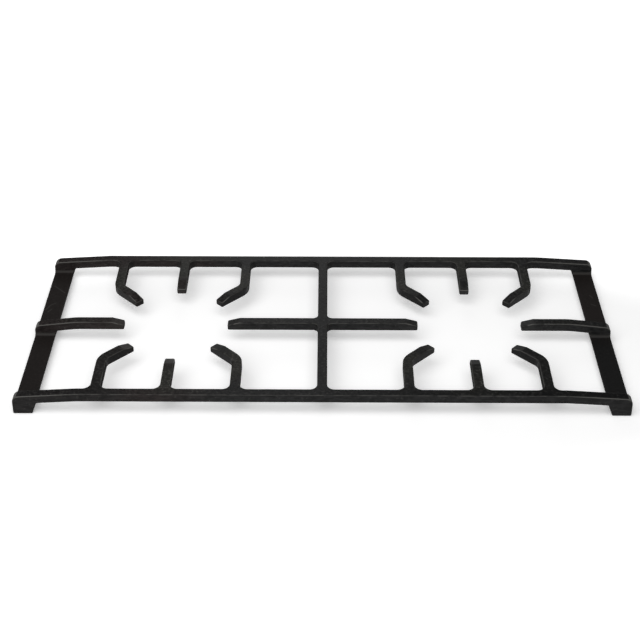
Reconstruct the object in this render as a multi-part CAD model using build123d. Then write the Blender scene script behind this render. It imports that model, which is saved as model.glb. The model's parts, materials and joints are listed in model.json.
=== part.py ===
"""Cast-iron pan support for two gas burners, poured as one piece.

Frame: millimetres, X along the rails, Y from the front rail to the rear rail, Z up.
The origin is on the hob's surface, under the middle of the support.
"""
import math
import os

from build123d import *

# Overall size
length = 480.0
width = 200.0
height = 19.5

# Section of every bar: rails, cross, arms and fingers
bar_width = 8.0
bar_depth = 7.6
edge_radius = 1.0

# Rails and side arms run level, then slope down to the end strips
slope_stem_gap = 3.9
rail_end_drop = 3.1
arm_slope_length = 35.0
arm_end_drop = 4.0
slope_blend_radius = 60.0
end_round = 6.0
knee_fillet = 1.2

# End strips, which stand on the hob
strip_height = 6.5
strip_foot_width = 15.0
strip_outer_lean = 2.0
strip_inner_lean = 22.0
strip_foot_radius = 1.2
strip_seam_fillet = 2.4
# A foot's two inside fillets share its height above the strip, and take at most these parts of it
most_seam_share = 0.72
most_knee_share = 0.40

# Burners' axes from the ends, and where the fingers stand around each burner's axis
burner_end_gap = 118.0
stem_offset = 54.1
bend_offset = 52.2
side_tip_radius = 43.0
short_tip_radius = 49.6
diagonal_length = 29.2
diagonal_angle = 45.0
bend_inner_radius = 8.0
root_fillet = 6.0
cross_fillet = 4.5

# Finger tips, sloped on top so that a pan slides on
tip_slope_length = 10.0
tip_drop = 2.8
tip_blend_radius = 3.0
tip_corner_radius = 1.2

# Edges whose faces turn by less than this, in degrees, are already smooth
least_sharp_turn = 8.0
# Corners and edges that lie closer than this are taken to be in the same place
same_place = 0.05

half_length = length / 2
half_width = width / 2
half_bar = bar_width / 2
rail_inner_y = half_width - bar_width
rail_middle_y = half_width - half_bar
bar_bottom = height - bar_depth
burner_offset = half_length - burner_end_gap
# The rails start to slope beyond the roots of the outermost fingers
rail_slope_length = burner_end_gap - stem_offset - half_bar - root_fillet - slope_stem_gap
finger_aim = math.radians(diagonal_angle)
# A bent finger keeps its width around the bend
bend_outer_radius = bend_inner_radius + bar_width
finger_tip_x = stem_offset - diagonal_length * math.cos(finger_aim)
finger_tip_y = bend_offset - diagonal_length * math.sin(finger_aim)
inner_slope = math.tan(math.radians(strip_inner_lean))
outer_slope = math.tan(math.radians(strip_outer_lean))
inner_foot_x = half_length - strip_foot_width
# The outer side's line passes the full length at the hob, so that its rounded foot ends there
outer_foot_x = half_length + strip_foot_radius * (outer_slope + math.hypot(1, outer_slope) - 1)


def is_at(value, place):
    """Whether a coordinate lies at a place or at its mirror image."""
    return abs(abs(value) - place) < same_place


def face_from(points):
    """A flat face inside a closed outline of straight lines, in the XY plane."""
    return make_face(Polyline(*points, close=True))


def round_corner(face, spot, radius):
    """Rounds the corner of a flat face that lies nearest to a spot."""
    corner = face.vertices().sort_by_distance(Vector(*spot))[0]
    return fillet(corner, radius)


def upright_xz(face, depth):
    """Turns a face drawn in X and Z upright and extrudes it evenly to both sides of Y = 0."""
    return extrude(Plane.XZ * face, depth / 2, both=True)


def round_foot(section):
    """Rounds the two lower corners of a section that stands on the hob, drawn in X and Z."""
    section = round_corner(section, (outer_foot_x, 0), strip_foot_radius)
    return round_corner(section, (inner_foot_x, 0), strip_foot_radius)


def bar_plan(start, end):
    """Plan of a straight bar between two points of its middle line."""
    run = Vector(*end) - Vector(*start)
    middle = (Vector(*start) + Vector(*end)) / 2
    angle = math.degrees(math.atan2(run.Y, run.X))
    return Pos(middle.X, middle.Y) * Rot(0, 0, angle) * Rectangle(run.length, bar_width)


def bent_finger_plan():
    """Plan of one bent finger: a stem off the rear rail, turned towards a burner at the origin."""
    across = Vector(math.sin(finger_aim), -math.cos(finger_aim))
    bend = Vector(stem_offset, bend_offset)
    tip = Vector(finger_tip_x, finger_tip_y)
    mitre = half_bar * math.tan(math.radians(90 - diagonal_angle) / 2)
    outer_bend = bend + Vector(half_bar, -mitre)
    inner_bend = bend + Vector(-half_bar, mitre)
    tip_corners = [tip + across * half_bar, tip - across * half_bar]
    plan = face_from([
        (stem_offset + half_bar, rail_middle_y),
        (outer_bend.X, outer_bend.Y),
        (tip_corners[0].X, tip_corners[0].Y),
        (tip_corners[1].X, tip_corners[1].Y),
        (inner_bend.X, inner_bend.Y),
        (stem_offset - half_bar, rail_middle_y),
    ])
    for corner in tip_corners:
        plan = round_corner(plan, corner, tip_corner_radius)
    plan = round_corner(plan, outer_bend, bend_outer_radius)
    return round_corner(plan, inner_bend, bend_inner_radius)


def short_finger_plan():
    """Plan of the short straight finger off the rear rail, with a burner at the origin."""
    plan = bar_plan((0, short_tip_radius), (0, rail_middle_y))
    for side in (-1, 1):
        plan = round_corner(plan, (side * half_bar, short_tip_radius), tip_corner_radius)
    return plan


def cross_bar_plan():
    """Plan of the middle bar along X, with both tips rounded."""
    reach = burner_offset - side_tip_radius
    plan = bar_plan((-reach, 0), (reach, 0))
    for side in (-1, 1):
        for edge in (-half_bar, half_bar):
            plan = round_corner(plan, (side * reach, edge), tip_corner_radius)
    return plan


def frame_plan():
    """Plan of rails, cross and rail fingers as one outline, with its inside corners filleted."""
    bent = bent_finger_plan()
    rear_fingers = [short_finger_plan(), bent, mirror(bent, about=Plane.YZ)]
    front_fingers = [mirror(finger, about=Plane.XZ) for finger in rear_fingers]
    plan = cross_bar_plan() + bar_plan((0, -rail_middle_y), (0, rail_middle_y))
    for side in (-1, 1):
        plan += bar_plan((-half_length, side * rail_middle_y), (half_length, side * rail_middle_y))
        plan += [Pos(side * burner_offset, 0) * finger for finger in rear_fingers + front_fingers]
    rail_reach = half_length - bar_width
    roots = [c for c in plan.vertices() if is_at(c.Y, rail_inner_y) and abs(c.X) < rail_reach]
    plan = fillet(roots, root_fillet)
    crossing = [c for c in plan.vertices() if is_at(c.X, half_bar) and is_at(c.Y, half_bar)]
    return fillet(crossing, cross_fillet)


def meet_side(foot_x, lean, level_end, level, slope):
    """X and Z where a line that slopes down from a level meets a side that leans in from its foot."""
    meeting = (level - slope * (foot_x - level_end)) / (1 - slope * lean)
    return (foot_x - lean * meeting, meeting)


def foot_rise():
    """Height of an arm's inside corner above the strip, the least of all feet."""
    slope = arm_end_drop / arm_slope_length
    knee = meet_side(inner_foot_x, inner_slope, half_length - arm_slope_length, bar_bottom, slope)
    return knee[1] - strip_height


def sloping_profile(start, slope_length, end_drop):
    """Side view, in X and Z, of a bar that runs level from start, then slopes down to its foot."""
    level_end = half_length - slope_length
    slope = end_drop / slope_length
    shoulder = meet_side(outer_foot_x, outer_slope, level_end, height, slope)
    knee = meet_side(inner_foot_x, inner_slope, level_end, bar_bottom, slope)
    profile = face_from([
        (start, height),
        (level_end, height),
        shoulder,
        (outer_foot_x, 0),
        (inner_foot_x, 0),
        knee,
        (level_end, bar_bottom),
        (start, bar_bottom),
    ])
    profile = round_corner(profile, (level_end, height), slope_blend_radius)
    profile = round_corner(profile, (level_end, bar_bottom), slope_blend_radius)
    profile = round_corner(profile, shoulder, end_round)
    profile = round_corner(profile, knee, min(knee_fillet, foot_rise() * most_knee_share))
    return round_foot(profile)


def upper_frame():
    """Rails with their end feet, the cross and the rail fingers."""
    half = sloping_profile(0, rail_slope_length, rail_end_drop)
    right = upright_xz(half, width)
    side_view = right + mirror(right, about=Plane.YZ)
    return extrude(frame_plan(), height) & side_view


def side_arm():
    """The right-hand side arm, from its foot on the strip to its tip beside the burner."""
    tip = burner_offset + side_tip_radius
    plan = bar_plan((tip, 0), (half_length, 0))
    for edge in (-half_bar, half_bar):
        plan = round_corner(plan, (tip, edge), tip_corner_radius)
    return extrude(plan, height) & upright_xz(sloping_profile(tip, arm_slope_length, arm_end_drop), width)


def end_strip():
    """The right-hand end strip, from the front foot to the rear foot."""
    section = face_from([
        (outer_foot_x, 0),
        (outer_foot_x - outer_slope * strip_height, strip_height),
        (inner_foot_x - inner_slope * strip_height, strip_height),
        (inner_foot_x, 0),
    ])
    return upright_xz(round_foot(section), width)


def strip_seams(casting):
    """Edges where the feet of rails and arms rise from the top of an end strip."""
    lines = casting.edges().filter_by(Axis.X)
    level = [edge for edge in lines if is_at(edge.center().Z, strip_height)]
    sides = (rail_inner_y, half_bar)
    return [edge for edge in level if any(is_at(edge.center().Y, side) for side in sides)]


def tip_places():
    """Each finger tip as a place with its X axis pointing out of the tip."""
    places = []
    for burner in (-1, 1):
        middle = burner * burner_offset
        for side in (-1, 1):
            places.append(Pos(middle + side * side_tip_radius, 0) * Rot(0, 0, 90 + side * 90))
            places.append(Pos(middle, side * short_tip_radius) * Rot(0, 0, -side * 90))
            for row in (-1, 1):
                turn = math.degrees(math.atan2(-row * math.sin(finger_aim), -side * math.cos(finger_aim)))
                places.append(Pos(middle + side * finger_tip_x, row * finger_tip_y) * Rot(0, 0, turn))
    return places


def tip_cutter():
    """What is taken off the top of a finger whose tip is at the origin and points along X."""
    drop_rate = tip_drop / tip_slope_length
    above = height + tip_drop
    back = -tip_slope_length - tip_blend_radius
    past = bar_width
    cut = face_from([
        (back, height),
        (-tip_slope_length, height),
        (past, height - tip_drop - drop_rate * past),
        (past, above),
        (back, above),
    ])
    cut = round_corner(cut, (-tip_slope_length, height), tip_blend_radius)
    return upright_xz(cut, bar_width + 2 * past)


def sharp_edges(solid):
    """Edges of a solid where two faces meet at an angle."""
    faces_at = {}
    for face in solid.faces():
        for edge in face.edges():
            faces_at.setdefault(edge, []).append(face)
    sharp = []
    for edge, faces in faces_at.items():
        middle = edge.position_at(0.5)
        normals = [face.normal_at(middle) for face in faces]
        if len(normals) == 2 and normals[0].get_angle(normals[1]) > least_sharp_turn:
            sharp.append(edge)
    return sharp


def pan_support():
    """The whole casting, with its edges rounded as a sand casting's are."""
    arm = side_arm()
    strip = end_strip()
    casting = upper_frame() + arm + strip + mirror(arm, about=Plane.YZ) + mirror(strip, about=Plane.YZ)
    casting = fillet(strip_seams(casting), min(strip_seam_fillet, foot_rise() * most_seam_share))
    cutter = tip_cutter()
    casting -= [place * cutter for place in tip_places()]
    return fillet(sharp_edges(casting), edge_radius)


os.makedirs("parts", exist_ok=True)
export_step(pan_support(), "parts/pan_support.step")
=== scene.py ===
"""Looks of a cast-iron pan support for two gas burners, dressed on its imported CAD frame.

Metres, in the frame's own axes: X along the rails, Y from the front rail to the rear rail, Z up from the hob.
"""
import json
import math
from types import SimpleNamespace

import bpy
from bpy.props import FloatProperty, FloatVectorProperty, PointerProperty
from bpy.types import Operator, Panel, PropertyGroup
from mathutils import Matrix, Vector

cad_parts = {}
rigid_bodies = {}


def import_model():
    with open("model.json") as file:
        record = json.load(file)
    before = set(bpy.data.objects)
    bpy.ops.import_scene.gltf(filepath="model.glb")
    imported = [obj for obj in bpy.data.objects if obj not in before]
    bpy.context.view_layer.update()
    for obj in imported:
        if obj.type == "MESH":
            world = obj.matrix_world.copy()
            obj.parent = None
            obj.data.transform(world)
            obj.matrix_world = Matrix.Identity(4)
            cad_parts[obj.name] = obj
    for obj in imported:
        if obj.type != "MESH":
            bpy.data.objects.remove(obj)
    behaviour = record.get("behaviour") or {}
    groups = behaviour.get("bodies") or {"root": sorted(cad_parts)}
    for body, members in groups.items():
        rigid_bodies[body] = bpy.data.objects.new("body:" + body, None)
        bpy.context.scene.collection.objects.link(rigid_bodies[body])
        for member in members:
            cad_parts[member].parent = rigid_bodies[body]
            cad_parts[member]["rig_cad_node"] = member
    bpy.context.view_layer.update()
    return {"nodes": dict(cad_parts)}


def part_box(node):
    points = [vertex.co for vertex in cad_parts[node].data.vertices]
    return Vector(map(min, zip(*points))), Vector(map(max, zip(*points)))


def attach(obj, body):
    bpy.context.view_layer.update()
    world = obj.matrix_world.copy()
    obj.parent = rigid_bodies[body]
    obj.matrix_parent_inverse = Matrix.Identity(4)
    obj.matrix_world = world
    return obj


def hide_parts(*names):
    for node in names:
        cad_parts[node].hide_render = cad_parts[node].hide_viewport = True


bl_info = {
    "name": "Cast-iron pan support",
    "version": (1, 0, 0),
    "blender": (4, 5, 0),
    "location": "3D View > Sidebar > Pan support",
    "description": "Dresses a packed pan support as a coated casting and sets up its studio",
    "category": "Object",
}

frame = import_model()
NODE = "pan_support"
LOW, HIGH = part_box(NODE)

# Adjoining CAD triangles share corners that lie closer than this
MERGE_GAP = 1e-6
# Large faces hold their own normals with this weight, so that the rounds beside them don't bend the light
FLAT_WEIGHT = 100
# From the middle to the ends, to the front and back, and to the burners' axes
END = HIGH[0]
SIDE = HIGH[1]
BURNER_OFFSET = END - 0.118

# Each pair of numbers below says where a change of the coat starts and where it is complete
# The end strips and their seams: distance along the support, distance across it, and height
STRIP_ALONG = (END - 0.0195, END - 0.0175)
STRIP_ACROSS = (SIDE - 0.0075, SIDE - 0.0085)
STRIP_HEIGHT = (0.0095, 0.0080)
SEAM_HEIGHT = (0.0065, 0.0070)
# The ends of rails and arms, by which the support is lifted, where the upper edges get more wear and a
# brighter painted highlight
WORN_AND_HIGHLIT_ENDS = (END - 0.075, END - 0.025)
# The flames' ring, and the tips inside it: distance from the nearer burner's axis
FLAMES_OUTSIDE = (0.105, 0.085)
FLAMES_INSIDE = (0.058, 0.074)
TIPS_START = (0.062, 0.050)
TIPS_STOP = (0.0470, 0.0490)
# Tips of the straight fingers and bars: distance from the nearer line through the axis, along X or along Y
STRAIGHT_TIPS = (0.014, 0.008)
# How far forwards a tip counts as one at the front
FRONT_TIPS = (0.0, -0.03)
# The bars along the middle, which the flames reach less: distance across the support
MIDDLE_BARS = (0.020, 0.010)
# The front outer fingers, which the flames spared: outwards from the burner's axis, and forwards
SPARED_OUTWARDS = (0.02, 0.045)
SPARED_FORWARDS = (-0.02, -0.05)
# The browned left end
BROWNED_ALONG = (-0.03, -0.17)
# The right front, where the end strips take a plainer coat and level tops get painted shade, and the front
# rail's right half, whose top gets painted shade
PLAIN_ALONG = (0.0, 0.1)
PLAIN_ACROSS = (0.03, -0.03)
FRONT_RAIL_ALONG = (-0.01, 0.05)
FRONT_RAIL_ACROSS = (0.012 - SIDE, 0.007 - SIDE)
# Which way the surface faces, by the parts of its normal: to the front or back, upwards, or round an edge
UPRIGHT = (0.55, 0.80)
LEVEL = (0.6, 0.9)
FLAMES_LEVEL = (0.2, 0.8)
EDGE_ABOVE = (0.955, 0.87)
EDGE_BELOW = (0.15, 0.40)
# Walls that stand askew to the rails, by the product of the normal's X and Y; these walls get painted shade
ASKEW = (0.25, 0.45)
# Surfaces seen at a slant lose their gloss
SLANTED = (0.64, 0.82)
# Levels of the noises at which patches start and are full
BROWNED_LEVELS = (0.80, 1.20)
CLOUD_LEVELS = (0.40, 0.60)
SPECK_LEVELS = (0.60, 0.70)
RUB_LEVELS = (0.34, 0.60)

# Shares of the coat's greying and browning that are left in a region
SPARED_HEAT = 0.2
SPARED_BROWN = 0.3
MIDDLE_HEAT = 0.3
# Shares of the coat's brightness that are left in a region; all but the front outer fingers' share are
# painted shade
# Painted shade on the askew walls of the bent fingers
ASKEW_PAINTED_SHADE = 0.45
# Painted shade that darkens all level tops a little
LEVEL_PAINTED_SHADE = 0.94
SPARED_SHADE = 0.83
# Painted shade on level tops at the right front
RIGHT_FRONT_PAINTED_SHADE = 0.78
# Painted shade on the top of the front rail's right half
FRONT_RAIL_PAINTED_SHADE = 0.72
# Share of the cast finish that is left on the smooth strips, and of its clouds on upright faces
STRIP_CAST = 0.25
UPRIGHT_CLOUDS = 0.75
# Clouds on upright faces are drawn out along the rail: their X counts only this much
UPRIGHT_STRETCH = 0.35
# Specks are this strong where no flame reaches
COLD_SPECKS = 0.8
# What the palest clouds and the seams add to the coat's roughness
CLOUD_ROUGHNESS = 0.08
SEAM_ROUGHNESS = 0.14
# Weight of the fine octaves in soft and in harsh noise
SOFT_NOISE = 0.55
HARSH_NOISE = 0.65

# Scratches and scuffs on top of the end strips, from one point to another
STRIP_SCRATCHES = (
    ((-0.2361, 0.0696, 0.0065), (-0.2254, 0.0586, 0.0065)),
    ((-0.2378, 0.0323, 0.0065), (-0.2345, 0.0399, 0.0065)),
    ((-0.2345, 0.0399, 0.0065), (-0.2306, 0.0430, 0.0065)),
    ((-0.2352, 0.0294, 0.0065), (-0.2325, 0.0340, 0.0065)),
    ((0.2327, 0.0580, 0.0065), (0.2345, 0.0540, 0.0065)),
    ((0.2317, 0.0445, 0.0065), (0.2352, 0.0420, 0.0065)),
)

# The paper is lifted further from this distance on, which is measured from a point in front of the middle
FLOOR_FAR = (0.13, 0.20)
FLOOR_SHIFT = (0, 0.03, 0)
# Along X that distance counts less, so that the lifted area lies around the support as an oval
FLOOR_SQUEEZE = (SIDE / END, 1, 1)


class CastSurface(PropertyGroup):
    """How uneven the sand mould left the casting."""

    cut_spacing: FloatProperty(
        name="Cut spacing", description="Distance between the cuts that give the surface points to move",
        default=0.004, unit="LENGTH")
    wave_size: FloatProperty(
        name="Wave size", description="Size of the swells that the mould left",
        default=0.011, unit="LENGTH")
    wave_depth: FloatProperty(
        name="Wave depth", description="How far the lowest swell lies below the drawn surface",
        default=0.00010, unit="LENGTH")
    foot_height: FloatProperty(
        name="Foot height", description="Below this height the surface stays flat, to stand on the hob",
        default=0.001, unit="LENGTH")
    smooth_angle: FloatProperty(
        name="Smooth angle", description="Edges that turn by less than this are shaded smooth",
        default=math.radians(38), subtype="ANGLE")


class IronCoat(PropertyGroup):
    """Matte black coating over cast iron."""

    neutral: FloatVectorProperty(
        name="Neutral coat", description="Coating of the rails where it is plain black",
        default=(0.0172, 0.0172, 0.0172), subtype="COLOR", min=0, max=1)
    warm: FloatVectorProperty(
        name="Warm coat", description="Coating of the rails where it is browned",
        default=(0.0211, 0.0174, 0.0168), subtype="COLOR", min=0, max=1)
    heated: FloatVectorProperty(
        name="Heated coat", description="Coating around the burners, greyed by the flames",
        default=(0.0245, 0.0243, 0.0214), subtype="COLOR", min=0, max=1)
    strip: FloatVectorProperty(
        name="Strip coat", description="Coating of the smooth end strips",
        default=(0.0163, 0.0137, 0.0128), subtype="COLOR", min=0, max=1)
    strip_plain: FloatVectorProperty(
        name="Plain strip coat", description="Coating of the end strips where they are not browned",
        default=(0.0115, 0.0113, 0.0113), subtype="COLOR", min=0, max=1)
    # The worn colour also paints the highlights along edges, tips and seams
    worn: FloatVectorProperty(
        name="Worn coat", description="Rubbed edges and specks, where grey iron shows through",
        default=(0.100, 0.098, 0.092), subtype="COLOR", min=0, max=1)
    contrast: FloatProperty(
        name="Contrast", description="How much darker and paler than its mean the coating gets",
        default=0.46, subtype="FACTOR", min=0, max=1)
    roughness: FloatProperty(
        name="Roughness", description="Mean roughness of the coating",
        default=0.42, subtype="FACTOR", min=0, max=1)
    gloss: FloatProperty(
        name="Gloss", description="Specular level of the coating",
        default=0.08, subtype="FACTOR", min=0, max=1)
    tint_size: FloatProperty(
        name="Tint size", description="Size of the browned areas",
        default=0.12, unit="LENGTH")
    mottle_size: FloatProperty(
        name="Mottle size", description="Size of the cloudy patches in the coating",
        default=0.0022, unit="LENGTH")
    grain_size: FloatProperty(
        name="Grain size", description="Size of the sand grains printed in the surface",
        default=0.0011, unit="LENGTH")
    grain_depth: FloatProperty(
        name="Grain depth", description="Depth of the sand grain",
        default=0.00006, unit="LENGTH")


class CoatWearAndHighlights(PropertyGroup):
    """How far the coat is worn to grey iron, how bright the painted highlights on edges, tips and seams are,
    and how large the worn places are.
    """

    # The worn edges are partly wear and partly a painted highlight along the upper edges
    edges: FloatProperty(
        name="Edges", description="Wear of the upper edges, in rubbed stretches",
        default=0.42, subtype="FACTOR", min=0, max=1)
    # At the tips and at the ends of rails and arms that wear and painted highlight are stronger
    handled_edges: FloatProperty(
        name="Handled edges",
        description="Wear of the upper edges at the tips and at the ends of rails and arms",
        default=0.86, subtype="FACTOR", min=0, max=1)
    # Pale tops of the straight tips: partly wear, partly a painted sheen, which is stronger at the front tips
    tips: FloatProperty(
        name="Tips", description="Wear on top of the straight tips",
        default=0.08, subtype="FACTOR", min=0, max=1)
    front_tips: FloatProperty(
        name="Front tips", description="Wear on top of the straight tips at the front",
        default=0.13, subtype="FACTOR", min=0, max=1)
    # The seams' worn colour is a painted highlight along the inside fillets
    seams: FloatProperty(
        name="Seams", description="Wear of the seams between feet and strips",
        default=0.21, subtype="FACTOR", min=0, max=1)
    specks: FloatProperty(
        name="Specks", description="Wear in the pale specks where the flames reach",
        default=0.22, subtype="FACTOR", min=0, max=1)
    scratches: FloatProperty(
        name="Scratches", description="Wear in the scratches of the strips",
        default=0.25, subtype="FACTOR", min=0, max=1)
    rub_size: FloatProperty(
        name="Rub size", description="Length of the rubbed stretches on the edges",
        default=0.009, unit="LENGTH")
    speck_size: FloatProperty(
        name="Speck size", description="Spacing of the pale specks",
        default=0.0022, unit="LENGTH")
    scratch_width: FloatProperty(
        name="Scratch width", description="From the middle of a scratch to where it fades out",
        default=0.0009, unit="LENGTH")


class Studio(PropertyGroup):
    """Floor, lamps and camera."""

    floor_colour: FloatVectorProperty(
        name="Floor colour", description="Colour of the paper floor",
        default=(0.95, 0.95, 0.95), subtype="COLOR", min=0, max=1)
    floor_size: FloatProperty(
        name="Floor size", description="Side of the square floor",
        default=40.0, unit="LENGTH")
    floor_lift: FloatProperty(
        name="Floor lift", description="Light that the floor adds towards the camera, to show white",
        default=0.28)
    far_lift: FloatProperty(
        name="Far lift", description="What it adds besides, far from the support, where the lamps fade",
        default=0.40)
    sky: FloatProperty(
        name="Sky", description="Strength of the even light from all sides",
        default=0.14)
    key_power: FloatProperty(
        name="Key power", description="Power of the soft box above the camera",
        default=17.5, unit="POWER")
    key_place: FloatVectorProperty(
        name="Key place", description="Middle of the soft box",
        default=(-0.25, -0.65, 1.05), subtype="XYZ", unit="LENGTH")
    key_size: FloatVectorProperty(
        name="Key size", description="Width and height of the soft box",
        default=(1.8, 1.5), size=2, unit="LENGTH")
    card_power: FloatProperty(
        name="Card power", description="Power of the white card behind the support",
        default=1.60, unit="POWER")
    card_place: FloatVectorProperty(
        name="Card place", description="Middle of the white card",
        default=(-0.07, 1.1, 0.5), subtype="XYZ", unit="LENGTH")
    card_size: FloatVectorProperty(
        name="Card size", description="Width and height of the oval white card",
        default=(0.54, 0.92), size=2, unit="LENGTH")
    sensor: FloatProperty(
        name="Sensor", description="Width of the camera's sensor, in millimetres",
        default=36.0)
    lens: FloatProperty(
        name="Lens", description="Focal length on that sensor, in millimetres",
        default=72.935)
    pitch: FloatProperty(
        name="Pitch", description="How far the camera looks down",
        default=math.radians(35.07), subtype="ANGLE")
    yaw: FloatProperty(
        name="Yaw", description="How far the camera is turned to the left",
        default=math.radians(0.330), subtype="ANGLE")
    roll: FloatProperty(
        name="Roll", description="How far the camera is tilted about its own line of sight",
        default=math.radians(0.036), subtype="ANGLE")
    distance: FloatProperty(
        name="Distance", description="From the camera to the point it looks at",
        default=1.0947, unit="LENGTH")
    target: FloatVectorProperty(
        name="Target", description="Point that the camera looks at",
        default=(-0.00225, 0.01474, 0.0095), subtype="XYZ", unit="LENGTH")


class Nodes:
    """A new material, and short ways to add nodes to its tree.

    What goes into a node is another node's output or a plain value.
    """

    def __init__(self, name):
        self.material = bpy.data.materials.new(name)
        self.material.use_nodes = True
        self.tree = self.material.node_tree
        self.tree.nodes.clear()

    def feed(self, socket, value):
        """Links an input to an output, or sets it to a plain value."""
        if isinstance(value, bpy.types.NodeSocket):
            self.tree.links.new(value, socket)
        else:
            socket.default_value = value

    def add(self, kind, inputs=(), **settings):
        """A node with its settings and its inputs, which go by name or number."""
        made = self.tree.nodes.new(kind)
        for name, value in settings.items():
            setattr(made, name, value)
        for name, value in dict(inputs).items():
            self.feed(made.inputs[name], value)
        return made

    def show(self, shader):
        """Puts a shader on the surface."""
        self.add("ShaderNodeOutputMaterial", {"Surface": shader})

    def math(self, operation, *values):
        """Output of a Math node."""
        return self.add("ShaderNodeMath", dict(enumerate(values)), operation=operation).outputs[0]

    def vector(self, operation, *values):
        """Output of a Vector Math node."""
        made = self.add("ShaderNodeVectorMath", dict(enumerate(values)), operation=operation)
        return made.outputs["Value" if operation in ("DOT_PRODUCT", "LENGTH") else "Vector"]

    def parts(self, vector):
        """The X, Y and Z of a vector."""
        return self.add("ShaderNodeSeparateXYZ", {0: vector}).outputs

    def absolute(self, value):
        """A value without its sign."""
        return self.math("ABSOLUTE", value)

    def times(self, *values):
        """The product of some values."""
        product = values[0]
        for value in values[1:]:
            product = self.math("MULTIPLY", product, value)
        return product

    def most(self, *values):
        """The largest of some values."""
        top = values[0]
        for value in values[1:]:
            top = self.math("MAXIMUM", top, value)
        return top

    def span(self, value, ends, low, high):
        """Goes straight from low to high while a value goes from one end to the other, and no further."""
        made = self.add("ShaderNodeMapRange", {
            "Value": value, "From Min": ends[0], "From Max": ends[1], "To Min": low, "To Max": high})
        return made.outputs["Result"]

    def fade(self, mask, least):
        """Falls straight from 1 to the least while a mask goes from 0 to 1."""
        return self.span(mask, (0.0, 1.0), 1.0, least)

    def band(self, value, ends):
        """Rises smoothly from 0 to 1 while a value goes from one end to the other."""
        made = self.add("ShaderNodeMapRange", {
            "Value": value, "From Min": ends[0], "From Max": ends[1]}, interpolation_type="SMOOTHSTEP")
        return made.outputs["Result"]

    def mix(self, share, first, second):
        """A colour between two others."""
        made = self.add("ShaderNodeMix", {"Factor": share}, data_type="RGBA")
        colours = [socket for socket in made.inputs if socket.type == "RGBA"]
        for socket, colour in zip(colours, (first, second)):
            self.feed(socket, colour if isinstance(colour, bpy.types.NodeSocket) else (*colour, 1))
        return next(socket for socket in made.outputs if socket.type == "RGBA")

    def noise(self, point, size, detail, fine=SOFT_NOISE):
        """Noise with patches of about a size, and finer ones on top of them."""
        made = self.add("ShaderNodeTexNoise", {
            "Vector": point, "Scale": 1 / size, "Detail": detail, "Roughness": fine})
        return made.outputs["Fac"]

    def scratch(self, point, start, end, width):
        """Mask of a thin scratch that runs from one point to another."""
        run = Vector(end) - Vector(start)
        offset = self.vector("SUBTRACT", point, start)
        along = self.vector("DOT_PRODUCT", offset, run / run.length_squared)
        nearest = self.vector("MULTIPLY", self.span(along, (0.0, 1.0), 0.0, 1.0), run)
        return self.band(self.vector("LENGTH", self.vector("SUBTRACT", offset, nearest)), (width, 0.0))


def casting_regions(nodes):
    """Masks of the casting's regions, from a point's place and from the way that the surface faces there."""
    place = nodes.add("ShaderNodeTexCoord")
    at = SimpleNamespace(spot=place.outputs["Object"])
    at.x, at.y, height = nodes.parts(at.spot)
    normal_x, normal_y, upward = nodes.parts(place.outputs["Normal"])
    along = nodes.absolute(at.x)
    across = nodes.absolute(at.y)

    at.upright = nodes.band(nodes.absolute(normal_y), UPRIGHT)
    at.level = nodes.band(upward, LEVEL)
    at.askew = nodes.span(nodes.times(nodes.absolute(normal_x), nodes.absolute(normal_y)), ASKEW, 0.0, 1.0)
    at.edge = nodes.times(nodes.band(upward, EDGE_ABOVE), nodes.band(upward, EDGE_BELOW))

    # The end strips are low and smooth, and rough inside fillets join them to the feet
    at.strip = nodes.times(
        nodes.band(along, STRIP_ALONG), nodes.band(height, STRIP_HEIGHT), nodes.band(across, STRIP_ACROSS))
    # The seams are rougher and carry a painted highlight
    at.seam = nodes.times(at.strip, nodes.band(height, SEAM_HEIGHT))
    at.cast = nodes.fade(at.strip, STRIP_CAST)

    # Around the nearer burner's axis
    outwards = nodes.math("SUBTRACT", along, BURNER_OFFSET)
    from_axis = nodes.add("ShaderNodeCombineXYZ", {"X": outwards, "Y": at.y}).outputs["Vector"]
    reach = nodes.vector("LENGTH", from_axis)
    at.spared = nodes.times(nodes.band(outwards, SPARED_OUTWARDS), nodes.band(at.y, SPARED_FORWARDS))
    at.heat = nodes.times(
        nodes.band(reach, FLAMES_OUTSIDE), nodes.band(reach, FLAMES_INSIDE),
        nodes.span(upward, FLAMES_LEVEL, 0.0, 1.0), nodes.fade(at.spared, SPARED_HEAT),
        nodes.span(across, MIDDLE_BARS, 1.0, MIDDLE_HEAT))
    near_tip = nodes.band(reach, TIPS_START)
    off_line = nodes.math("MINIMUM", nodes.absolute(outwards), across)
    at.straight_tip = nodes.times(near_tip, nodes.band(off_line, STRAIGHT_TIPS))
    # Tips and ends, where the upper edges get more wear and a brighter painted highlight
    at.handled = nodes.most(
        nodes.times(near_tip, nodes.band(reach, TIPS_STOP)), nodes.band(along, WORN_AND_HIGHLIT_ENDS))

    # The right front: a plainer coat on the end strips there, and painted shade on level tops there and on
    # the front rail's right half
    at.plain = nodes.times(nodes.band(at.x, PLAIN_ALONG), nodes.band(at.y, PLAIN_ACROSS))
    at.front_rail = nodes.times(nodes.band(at.x, FRONT_RAIL_ALONG), nodes.band(at.y, FRONT_RAIL_ACROSS))
    return at


def cloud_pattern(nodes, coat, at):
    """Clouds in the coat, from -1 to 1, drawn out along the rails on their upright faces."""
    stretch = nodes.add("ShaderNodeCombineXYZ", {
        "X": nodes.fade(at.upright, UPRIGHT_STRETCH), "Y": 1.0, "Z": 1.0})
    point = nodes.vector("MULTIPLY", at.spot, stretch.outputs["Vector"])
    mottle = nodes.noise(point, coat.mottle_size, detail=5, fine=HARSH_NOISE)
    return nodes.times(
        nodes.span(mottle, CLOUD_LEVELS, -1.0, 1.0), at.cast, nodes.fade(at.upright, UPRIGHT_CLOUDS))


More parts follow.
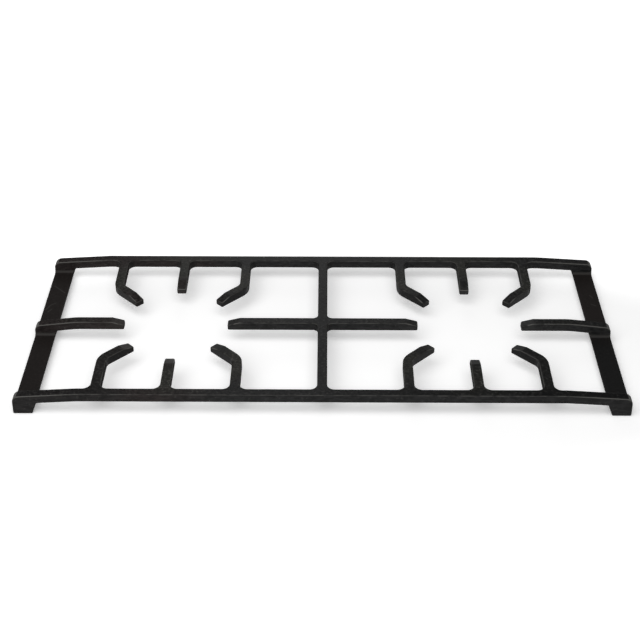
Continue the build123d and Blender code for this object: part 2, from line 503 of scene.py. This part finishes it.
def coat_colour(nodes, coat, at, clouds):
    """Colour of the coat: browned towards the left end, greyed by the flames, cloudy all over, darker at the
    front outer fingers, with painted shade on askew walls, level tops, the right front and the front rail's
    right half.
    """
    tint = nodes.noise(at.spot, coat.tint_size, detail=2)
    browned = nodes.band(nodes.math("ADD", tint, nodes.band(at.x, BROWNED_ALONG)), BROWNED_LEVELS)
    browned = nodes.times(browned, nodes.fade(at.spared, SPARED_BROWN))
    colour = nodes.mix(browned, coat.neutral, coat.warm)
    colour = nodes.mix(at.heat, colour, coat.heated)
    colour = nodes.mix(at.strip, colour, nodes.mix(at.plain, coat.strip, coat.strip_plain))
    # Clouds in the coat, the darker front outer fingers, and painted shade on askew walls, level tops, the
    # right front and the front rail's right half
    shade = nodes.times(
        nodes.math("ADD", nodes.times(clouds, coat.contrast), 1.0),
        nodes.fade(at.askew, ASKEW_PAINTED_SHADE),
        nodes.fade(at.level, LEVEL_PAINTED_SHADE),
        nodes.fade(nodes.times(at.spared, at.cast), SPARED_SHADE),
        nodes.fade(nodes.times(at.level, at.plain, at.cast), RIGHT_FRONT_PAINTED_SHADE),
        nodes.fade(nodes.times(at.level, at.front_rail), FRONT_RAIL_PAINTED_SHADE))
    return nodes.vector("MULTIPLY", colour, shade)


def wear_and_highlight_share(nodes, wear, at):
    """Mask of worn places and painted highlights: upper edges and tips, partly painted highlight, seams,
    wholly painted highlight, pale specks, and scratches on the strips.
    """
    rubbing = nodes.noise(at.spot, wear.rub_size, detail=4)
    # Upper edges: rubbed stretches of wear and a painted highlight, stronger at the tips and ends
    edges = nodes.times(
        at.edge, nodes.fade(at.strip, 0.0), nodes.most(nodes.band(rubbing, RUB_LEVELS), at.handled),
        nodes.span(at.handled, (0.0, 1.0), wear.edges, wear.handled_edges))
    # Straight tips: wear, and a painted sheen that is stronger at the front
    tips = nodes.times(at.straight_tip, nodes.span(at.y, FRONT_TIPS, wear.tips, wear.front_tips))
    specks = nodes.noise(at.spot, wear.speck_size, detail=2)
    specks = nodes.times(
        nodes.band(specks, SPECK_LEVELS), at.cast, nodes.math("ADD", at.heat, COLD_SPECKS), wear.specks)
    scratches = [nodes.scratch(at.spot, *line, wear.scratch_width) for line in STRIP_SCRATCHES]
    scratches = nodes.times(nodes.most(*scratches), wear.scratches)
    # The seams get a painted highlight in the worn colour
    return nodes.most(edges, specks, tips, nodes.times(at.seam, wear.seams), scratches)


def coated_iron(coat, wear):
    """The casting's material: cloudy matte black with painted shade, sand grain, worn places with painted
    highlights, and smooth dark end strips.
    """
    nodes = Nodes("coated_iron")
    at = casting_regions(nodes)
    clouds = cloud_pattern(nodes, coat, at)
    colour = nodes.mix(wear_and_highlight_share(nodes, wear, at), coat_colour(nodes, coat, at, clouds), coat.worn)

    rough = nodes.math("ADD", nodes.times(clouds, CLOUD_ROUGHNESS), coat.roughness)
    rough = nodes.math("ADD", rough, nodes.times(at.seam, SEAM_ROUGHNESS))
    slant = nodes.add("ShaderNodeLayerWeight", {"Blend": 0.5})
    rough = nodes.most(rough, nodes.band(slant.outputs["Facing"], SLANTED))

    grain = nodes.noise(at.spot, coat.grain_size, detail=4, fine=HARSH_NOISE)
    bump = nodes.add("ShaderNodeBump", {
        "Strength": 1.0, "Distance": coat.grain_depth, "Height": nodes.times(grain, at.cast)})
    shader = nodes.add("ShaderNodeBsdfPrincipled", {
        "Base Color": colour, "Roughness": rough, "Specular IOR Level": coat.gloss,
        "Normal": bump.outputs["Normal"]})
    nodes.show(shader.outputs["BSDF"])
    return nodes.material


def paper(studio):
    """The floor's material: matt paper, lifted to white where the camera, gloss or glass sees it."""
    nodes = Nodes("paper")
    matt = nodes.add("ShaderNodeBsdfDiffuse", {"Color": (*studio.floor_colour, 1)})
    place = nodes.add("ShaderNodeTexCoord")
    moved = nodes.vector("ADD", place.outputs["Object"], FLOOR_SHIFT)
    squeezed = nodes.vector("MULTIPLY", moved, FLOOR_SQUEEZE)
    far = nodes.band(nodes.vector("LENGTH", squeezed), FLOOR_FAR)
    ray = nodes.add("ShaderNodeLightPath")
    seen = nodes.most(*(ray.outputs[f"Is {kind} Ray"] for kind in ("Camera", "Glossy", "Transmission")))
    lift = nodes.math("ADD", nodes.times(far, studio.far_lift), studio.floor_lift)
    glow = nodes.add("ShaderNodeEmission", {"Strength": nodes.times(seen, lift)})
    both = nodes.add("ShaderNodeAddShader", {0: matt.outputs["BSDF"], 1: glow.outputs["Emission"]})
    nodes.show(both.outputs["Shader"])
    return nodes.material


def only(obj):
    """Makes one object the only selected one, and the active one."""
    bpy.ops.object.select_all(action="DESELECT")
    obj.select_set(True)
    bpy.context.view_layer.objects.active = obj


class PANSUPPORT_OT_casting(Operator):
    """Build the casting's skin: a copy of the CAD node with the mould's swells, coated black"""

    bl_idname = "pan_support.casting"
    bl_label = "Dress the casting"

    def cut(self, surface):
        """Merges the mesh's corners and cuts it across both ways, so that the surface has points to move."""
        bpy.ops.object.mode_set(mode="EDIT")
        bpy.ops.mesh.select_all(action="SELECT")
        bpy.ops.mesh.remove_doubles(threshold=MERGE_GAP)
        bpy.ops.mesh.customdata_custom_splitnormals_clear()
        for axis in (0, 1):
            cuts = int((HIGH[axis] - LOW[axis]) / surface.cut_spacing)
            across = Vector((0, 0, 0))
            across[axis] = 1
            for number in range(1, cuts):
                point = across * (LOW[axis] + (HIGH[axis] - LOW[axis]) * number / cuts)
                bpy.ops.mesh.select_all(action="SELECT")
                bpy.ops.mesh.bisect(plane_co=point, plane_no=across)
        bpy.ops.object.mode_set(mode="OBJECT")

    def swell(self, casting, surface):
        """Sinks the surface in shallow swells, all but the feet's flat undersides, and shades it smooth."""
        raised = casting.vertex_groups.new(name="raised")
        above = [v.index for v in casting.data.vertices if v.co.z > surface.foot_height]
        raised.add(above, 1.0, "REPLACE")
        swells = bpy.data.textures.new("mould_swells", "CLOUDS")
        swells.noise_scale = surface.wave_size
        displace = casting.modifiers.new("mould_swells", "DISPLACE")
        displace.texture = swells
        displace.texture_coords = "LOCAL"
        displace.vertex_group = raised.name
        displace.mid_level = 1.0
        displace.strength = surface.wave_depth
        bpy.ops.object.modifier_apply(modifier=displace.name)
        bpy.ops.object.shade_smooth_by_angle(angle=surface.smooth_angle)
        level = casting.modifiers.new("level_faces", "WEIGHTED_NORMAL")
        level.mode = "FACE_AREA"
        level.weight = FLAT_WEIGHT
        level.keep_sharp = True
        bpy.ops.object.modifier_apply(modifier=level.name)

    def execute(self, context):
        only(frame["nodes"][NODE])
        bpy.ops.object.duplicate()
        casting = context.active_object
        casting.name = "casting"
        casting.data.name = "casting"
        del casting["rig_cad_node"]
        self.cut(context.scene.cast_surface)
        self.swell(casting, context.scene.cast_surface)

        casting.data.materials.clear()
        casting.data.materials.append(coated_iron(context.scene.iron_coat, context.scene.coat_wear))
        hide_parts(NODE)
        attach(casting, "root")
        return {"FINISHED"}


class PANSUPPORT_OT_studio(Operator):
    """Lay the paper floor, hang the lamps and set the camera at the photograph's angle"""

    bl_idname = "pan_support.studio"
    bl_label = "Set up the studio"

    def lay_floor(self, studio):
        """A square of paper under the support."""
        bpy.ops.object.select_all(action="DESELECT")
        bpy.ops.mesh.primitive_plane_add(size=studio.floor_size, location=(0, 0, 0))
        floor = bpy.context.active_object
        floor.name = "floor"
        floor.data.materials.append(paper(studio))

    def light_sky(self, scene, strength):
        """Even white light from all sides."""
        world = bpy.data.worlds.new("studio")
        world.use_nodes = True
        background = world.node_tree.nodes["Background"]
        background.inputs["Color"].default_value = (1, 1, 1, 1)
        background.inputs["Strength"].default_value = strength
        scene.world = world

    def hang_lamp(self, name, shape, place, size, power, aim):
        """A flat white lamp at a place, turned towards a point."""
        lamp = bpy.data.lights.new(name, "AREA")
        lamp.shape = shape
        lamp.size, lamp.size_y = size
        lamp.energy = power
        holder = bpy.data.objects.new(name, lamp)
        bpy.context.scene.collection.objects.link(holder)
        holder.location = place
        holder.rotation_euler = (Vector(aim) - Vector(place)).to_track_quat("-Z", "Y").to_euler()

    def set_camera(self, scene, studio):
        """The photograph's camera, which looks at a point from a distance."""
        camera = bpy.data.objects.new("camera", bpy.data.cameras.new("camera"))
        scene.collection.objects.link(camera)
        level = math.cos(studio.pitch)
        look = Vector((-math.sin(studio.yaw) * level, math.cos(studio.yaw) * level, -math.sin(studio.pitch)))
        camera.location = Vector(studio.target) - look * studio.distance
        camera.rotation_euler = look.to_track_quat("-Z", "Y").to_euler()
        camera.rotation_euler.rotate_axis("Z", studio.roll)
        camera.data.sensor_width = studio.sensor
        camera.data.lens = studio.lens
        scene.camera = camera
        scene.view_settings.view_transform = "Standard"

    def execute(self, context):
        scene = context.scene
        studio = scene.studio
        self.lay_floor(studio)
        self.light_sky(scene, studio.sky)
        middle = (0, 0, 0)
        self.hang_lamp("key_box", "RECTANGLE", studio.key_place, studio.key_size, studio.key_power, middle)
        card = studio.card_place
        straight_ahead = (card[0], 0, card[2])
        self.hang_lamp("back_card", "ELLIPSE", card, studio.card_size, studio.card_power, straight_ahead)
        self.set_camera(scene, studio)
        return {"FINISHED"}


class PANSUPPORT_PT_sidebar(Panel):
    """Lists the sizes, finishes and steps of the pan support"""

    bl_label = "Pan support"
    bl_space_type = "VIEW_3D"
    bl_region_type = "UI"
    bl_category = "Pan support"

    def draw(self, context):
        for group in GROUPS:
            settings = getattr(context.scene, group)
            box = self.layout.box()
            for name in settings.__annotations__:
                box.prop(settings, name)
        for operator in OPERATORS:
            self.layout.operator(operator.bl_idname)


GROUPS = {"cast_surface": CastSurface, "iron_coat": IronCoat, "coat_wear": CoatWearAndHighlights, "studio": Studio}
OPERATORS = (PANSUPPORT_OT_casting, PANSUPPORT_OT_studio)
CLASSES = (*GROUPS.values(), *OPERATORS, PANSUPPORT_PT_sidebar)


def register():
    for kind in CLASSES:
        bpy.utils.register_class(kind)
    for name, kind in GROUPS.items():
        setattr(bpy.types.Scene, name, PointerProperty(type=kind))


def unregister():
    for name in GROUPS:
        delattr(bpy.types.Scene, name)
    for kind in reversed(CLASSES):
        bpy.utils.unregister_class(kind)


def main():
    register()
    bpy.ops.pan_support.casting()
    bpy.ops.pan_support.studio()


if __name__ == "__main__":
    main()
